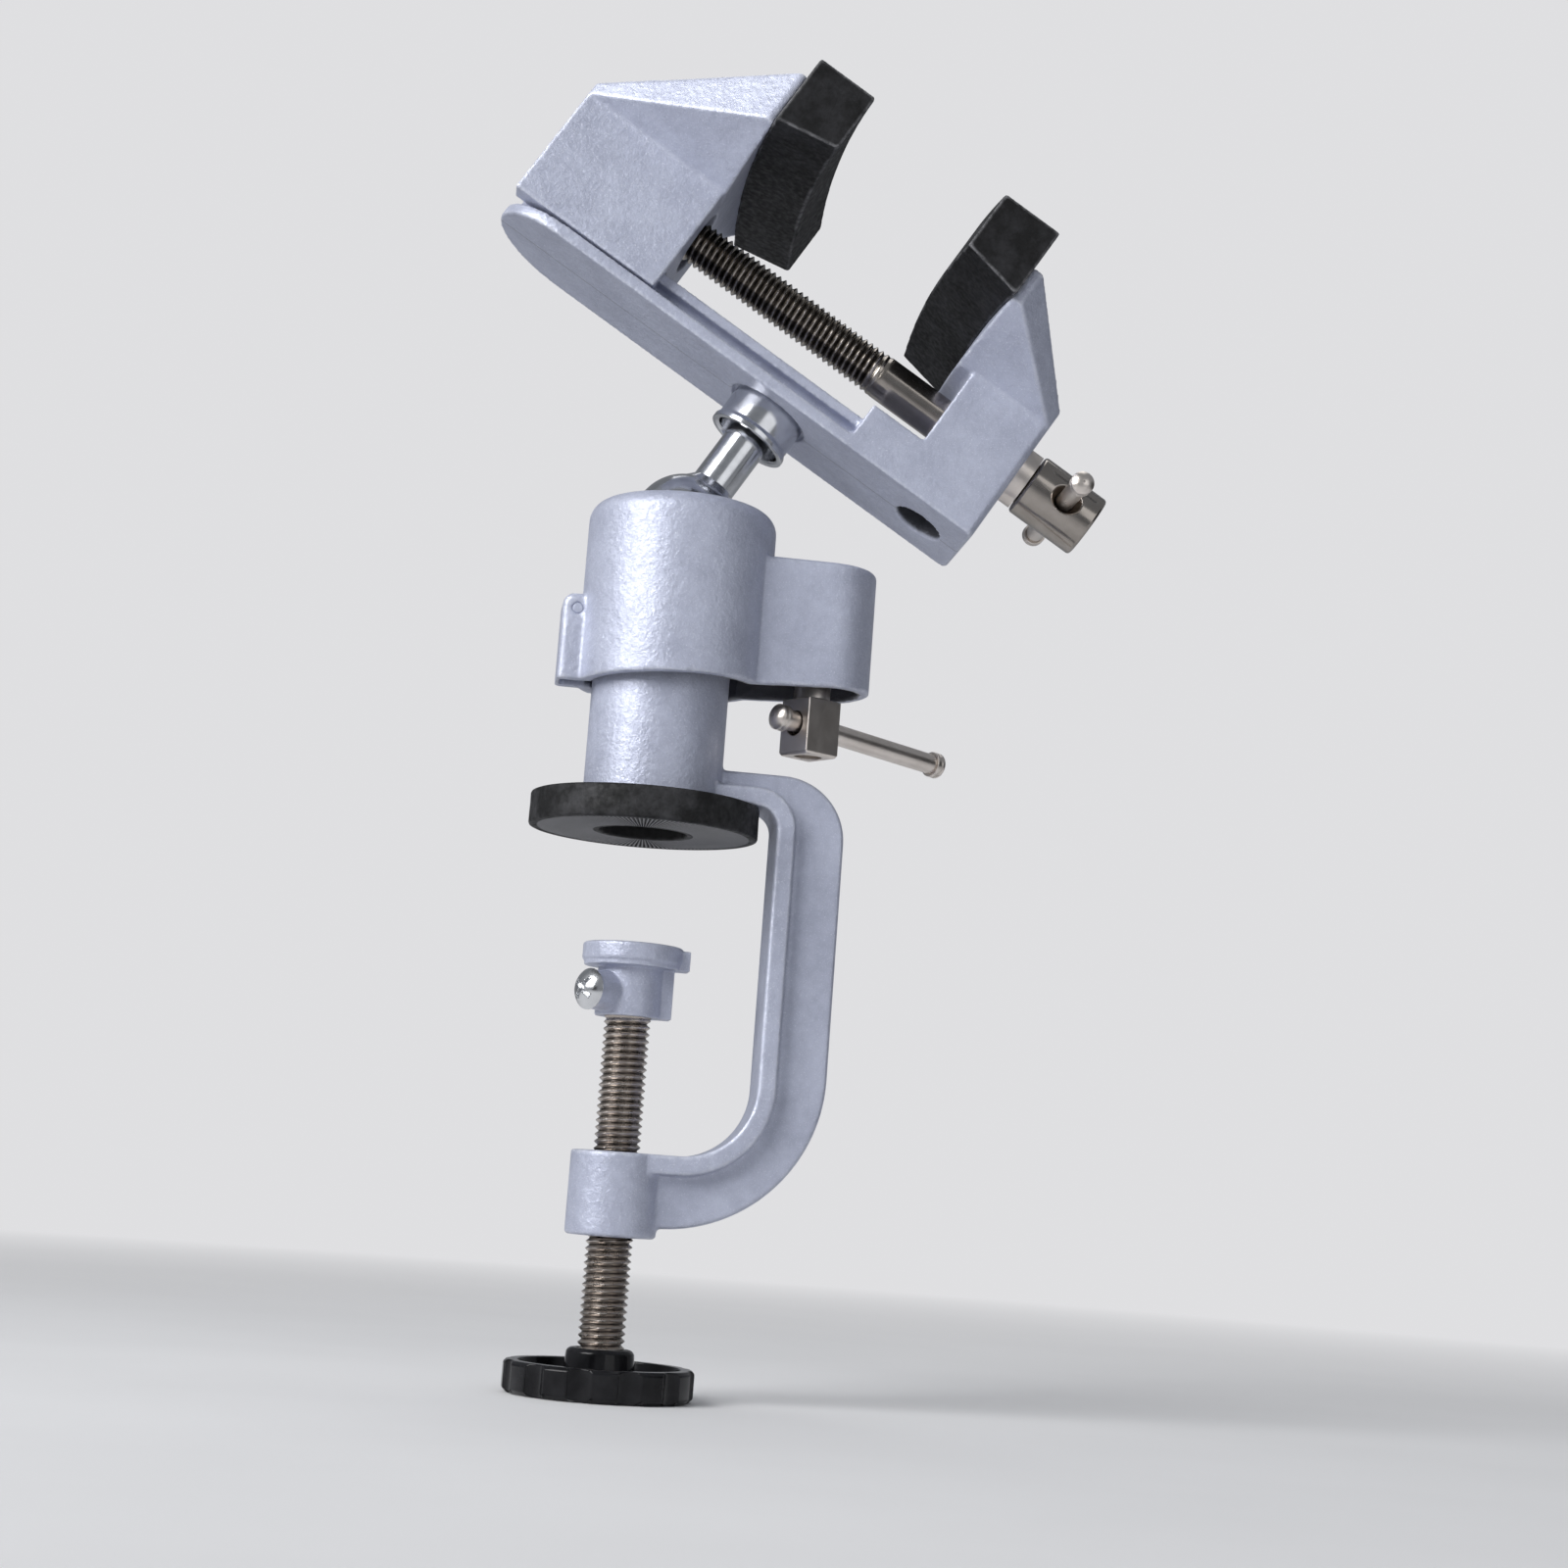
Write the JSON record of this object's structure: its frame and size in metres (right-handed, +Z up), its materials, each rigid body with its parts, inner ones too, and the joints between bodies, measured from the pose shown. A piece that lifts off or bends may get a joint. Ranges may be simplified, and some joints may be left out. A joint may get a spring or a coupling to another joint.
{
  "type": "ball vise",
  "caption": "Small bench-edge vise: rubber-faced jaws on a lockable ball stem, carried by a screw C-clamp with a hand knob.",
  "frame": {"origin": "centre of the rubber bench pad's underside, in the plane of the bench top it stands on", "axes": "+Z up along the clamp screw, +X towards the C arm, +Y away from the side the lock bar's short end shows on"},
  "size_m": [0.1413, 0.078, 0.2851],
  "materials": {
    "cast_silver": "satin silver paint over a fine cast grain",
    "ball_chrome": "polished",
    "screw_steel": "dark bronze nickel, oiled",
    "nickel": "warm nickel plate",
    "zinc_screw": "bright zinc plate",
    "inner_steel": "plain, greased",
    "brass_insert": "plain sleeve",
    "jaw_rubber": "matt black, pale worn edges",
    "bench_rubber": "matt black, ribbed underside",
    "knob_plastic": "glossy black moulding"
  },
  "bodies": {
    "frame": {"clamp_frame": "cast_silver", "bench_pad": "bench_rubber", "ball_seat": "inner_steel", "seat_screw": "zinc_screw"},
    "press_pad": {"pressure_pad": "cast_silver", "pressure_pad_screw": "zinc_screw"},
    "clamp_screw": {"clamp_screw": "screw_steel", "hand_knob": "knob_plastic", "knob_insert": "brass_insert"},
    "casing": {"socket_casing": "cast_silver", "pivot_pin": "inner_steel", "lock_nut_plate": "inner_steel"},
    "rocker": {"rocker_lever": "inner_steel"},
    "lock_thrust": {"thrust_button": "inner_steel"},
    "lock_screw": {"lock_screw": "nickel"},
    "lock_bar": {"lock_bar": "nickel", "lock_bar_caps": "nickel"},
    "ball_stud": {"ball_stud": "ball_chrome"},
    "head": {"vise_base": "cast_silver", "stem_collar": "ball_chrome", "jaw_pad_fixed": "jaw_rubber", "retainer_screw": "inner_steel", "thrust_washer": "nickel"},
    "jaw": {"moving_jaw": "cast_silver", "jaw_nut": "inner_steel", "jaw_pad_moving": "jaw_rubber"},
    "lead_screw": {"lead_screw": "screw_steel"},
    "lead_bar": {"lead_screw_bar": "nickel", "lead_bar_caps": "nickel"}
  },
  "joints": [
    {"name": "clamp_travel", "type": "slide", "parent": "frame", "child": "press_pad", "axis": [0, 0, 1], "range_m": [-0.0284, 0.023]},
    {"name": "clamp_screw_turn", "type": "hinge", "parent": "press_pad", "child": "clamp_screw", "pos_m": [0, 0, -0.0351], "axis": [0, 0, 1], "range_deg": [-6816.05, 5520.05]},
    {"name": "casing_turn", "type": "hinge", "parent": "frame", "child": "casing", "pos_m": [0.0033, 0, 0.046], "axis": [0, 0, 1], "continuous": true},
    {"name": "lock_travel", "type": "slide", "parent": "casing", "child": "lock_thrust", "axis": [0, 0, 1], "range_m": [-0.0005913, 0]},
    {"name": "lock_screw_turn", "type": "hinge", "parent": "lock_thrust", "child": "lock_screw", "pos_m": [0.0348, 0, 0.027], "axis": [0, 0, 1], "range_deg": [-170, 0]},
    {"name": "lock_bar_slide", "type": "slide", "parent": "lock_screw", "child": "lock_bar", "axis": [0.837, 0.5436, -0.0628], "range_m": [-0.0314, 0.0018]},
    {"name": "rocker_tilt", "type": "hinge", "parent": "casing", "child": "rocker", "pos_m": [-0.0185, 0, 0.0472], "axis": [0, 1, 0], "range_deg": [0, 0.63463]},
    {"name": "ball_tilt", "type": "hinge", "parent": "casing", "child": "ball_stud", "pos_m": [0.0033, 0, 0.0692], "axis": [0, 1, 0], "range_deg": [-69, 7]},
    {"name": "head_spin", "type": "hinge", "parent": "ball_stud", "child": "head", "pos_m": [0.0033, 0, 0.0692], "axis": [0.515, 0, 0.8572], "continuous": true},
    {"name": "jaw_travel", "type": "slide", "parent": "head", "child": "jaw", "axis": [0.8572, 0, -0.515], "range_m": [-0.006, 0.034]},
    {"name": "lead_screw_turn", "type": "hinge", "parent": "head", "child": "lead_screw", "pos_m": [0.08791, 0, 0.08264], "axis": [-0.8572, 0, 0.515], "range_deg": [-1440.05, 8160.05]},
    {"name": "lead_bar_slide", "type": "slide", "parent": "lead_screw", "child": "lead_bar", "axis": [0, 1, 0], "range_m": [-0.0167, 0.0117]}
  ],
  "couplings": [
    {"joint": "clamp_screw_turn", "follows": "clamp_travel", "rad_per_m": 4188.8},
    {"joint": "lock_travel", "follows": "lock_screw_turn", "m_per_rad": 0.00019894},
    {"joint": "rocker_tilt", "follows": "lock_screw_turn", "ratio": -0.0037325},
    {"joint": "lead_screw_turn", "follows": "jaw_travel", "rad_per_m": 4188.8}
  ]
}
